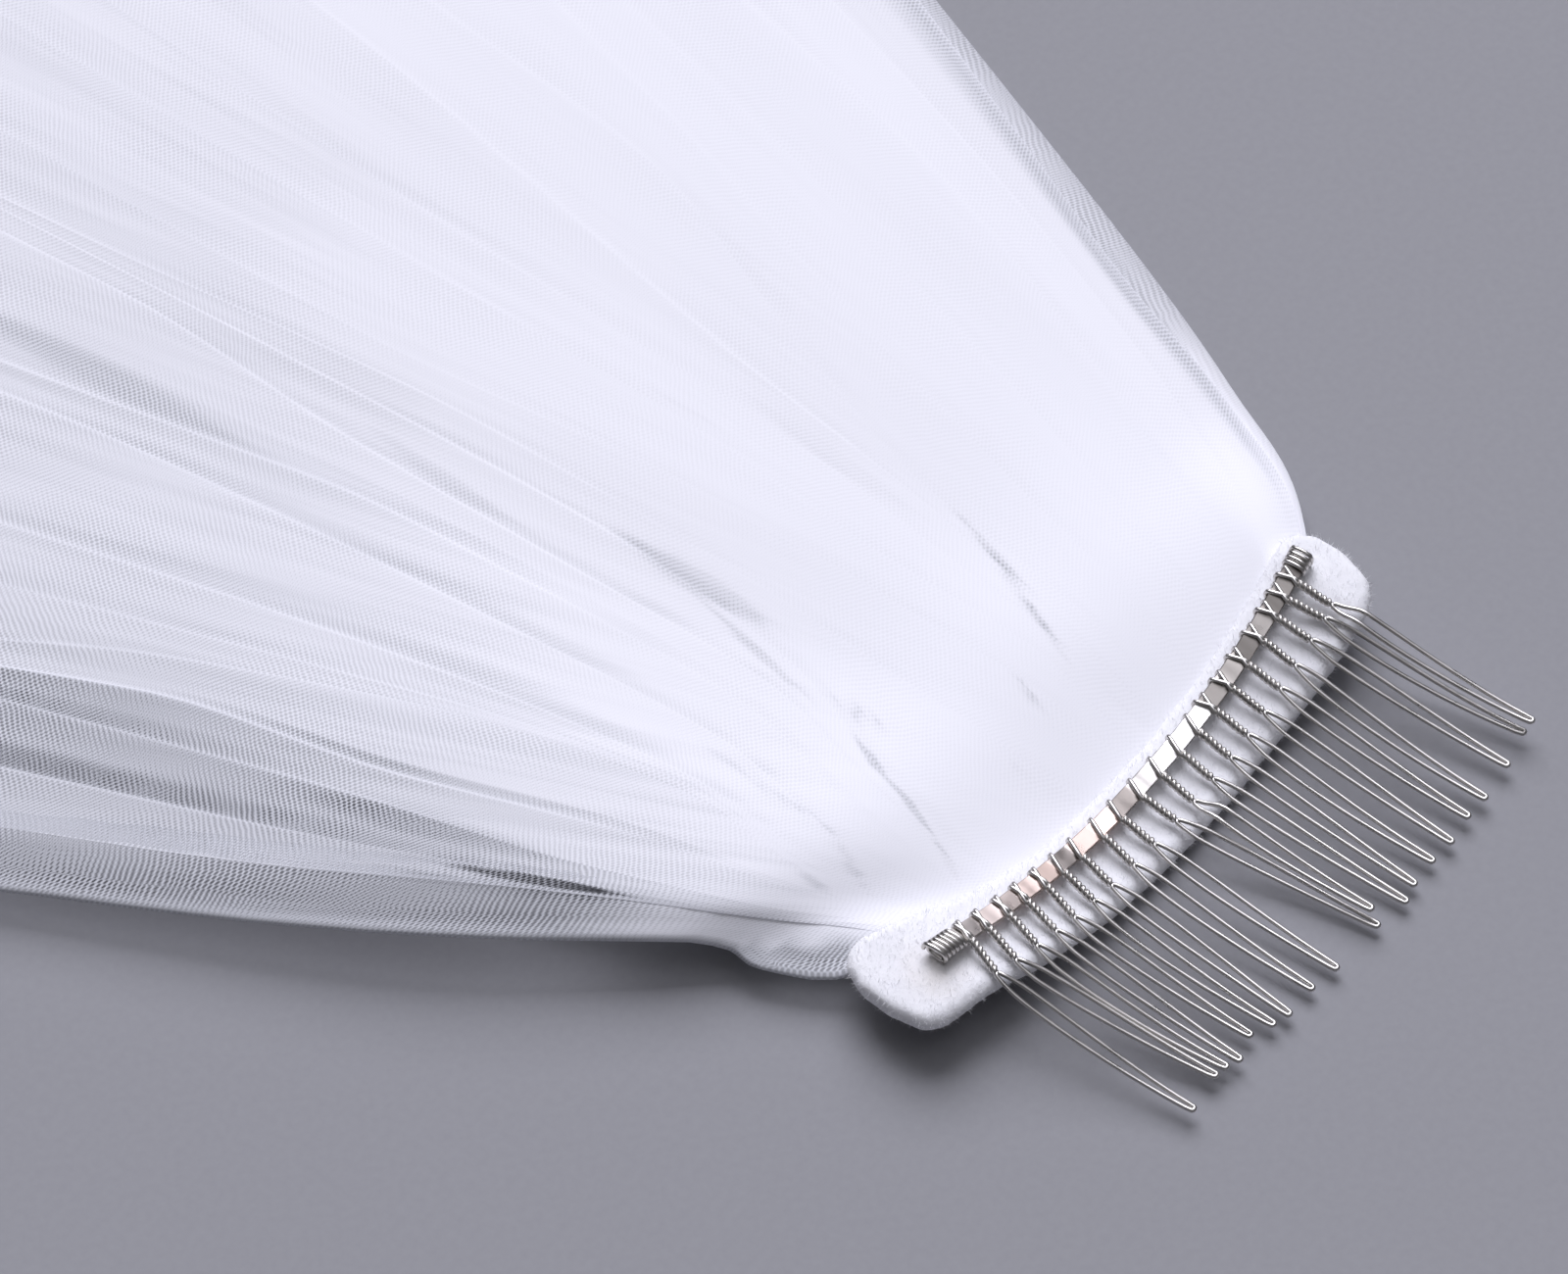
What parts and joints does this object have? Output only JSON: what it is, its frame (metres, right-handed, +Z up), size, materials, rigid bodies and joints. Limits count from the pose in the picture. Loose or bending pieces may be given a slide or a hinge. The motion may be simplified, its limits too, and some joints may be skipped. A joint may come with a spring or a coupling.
{
  "type": "bridal veil",
  "caption": "Two-tier bridal veil of soft net, gathered into a plush band on a wire hair comb, lying face down and spread out as a fan.",
  "frame": {"origin": "on the surface that the veil lies on, below the middle of the comb, on the band's flat underside", "axes": "+X along the comb, +Y from the comb to the hem, so the prongs point along -Y, and +Z up, out of the surface, from the veil's outer side to its inner side"},
  "size_m": [0.6767, 0.8194, 0.0102],
  "materials": {
    "tulle": "soft white net, semi-sheer, matt",
    "plush": "white brushed plush",
    "steel_strip": "bright plated strip",
    "steel_wire": "silver plated wire"
  },
  "bodies": {
    "root": {"veil_upper_tier": "tulle", "veil_under_tier": "tulle", "band": "plush", "comb_bar": "steel_strip", "comb_winding_near": "steel_wire", "comb_winding_far": "steel_wire", "comb_prong_01": "steel_wire", "comb_prong_02": "steel_wire", "comb_prong_03": "steel_wire", "comb_prong_04": "steel_wire", "comb_prong_05": "steel_wire", "comb_prong_06": "steel_wire", "comb_prong_07": "steel_wire", "comb_prong_08": "steel_wire", "comb_prong_09": "steel_wire", "comb_prong_10": "steel_wire", "comb_prong_11": "steel_wire", "comb_prong_12": "steel_wire", "comb_prong_13": "steel_wire", "comb_prong_14": "steel_wire", "comb_prong_15": "steel_wire", "comb_prong_16": "steel_wire", "comb_prong_17": "steel_wire", "comb_prong_18": "steel_wire", "comb_prong_19": "steel_wire", "comb_prong_20": "steel_wire"}
  },
  "joints": []
}
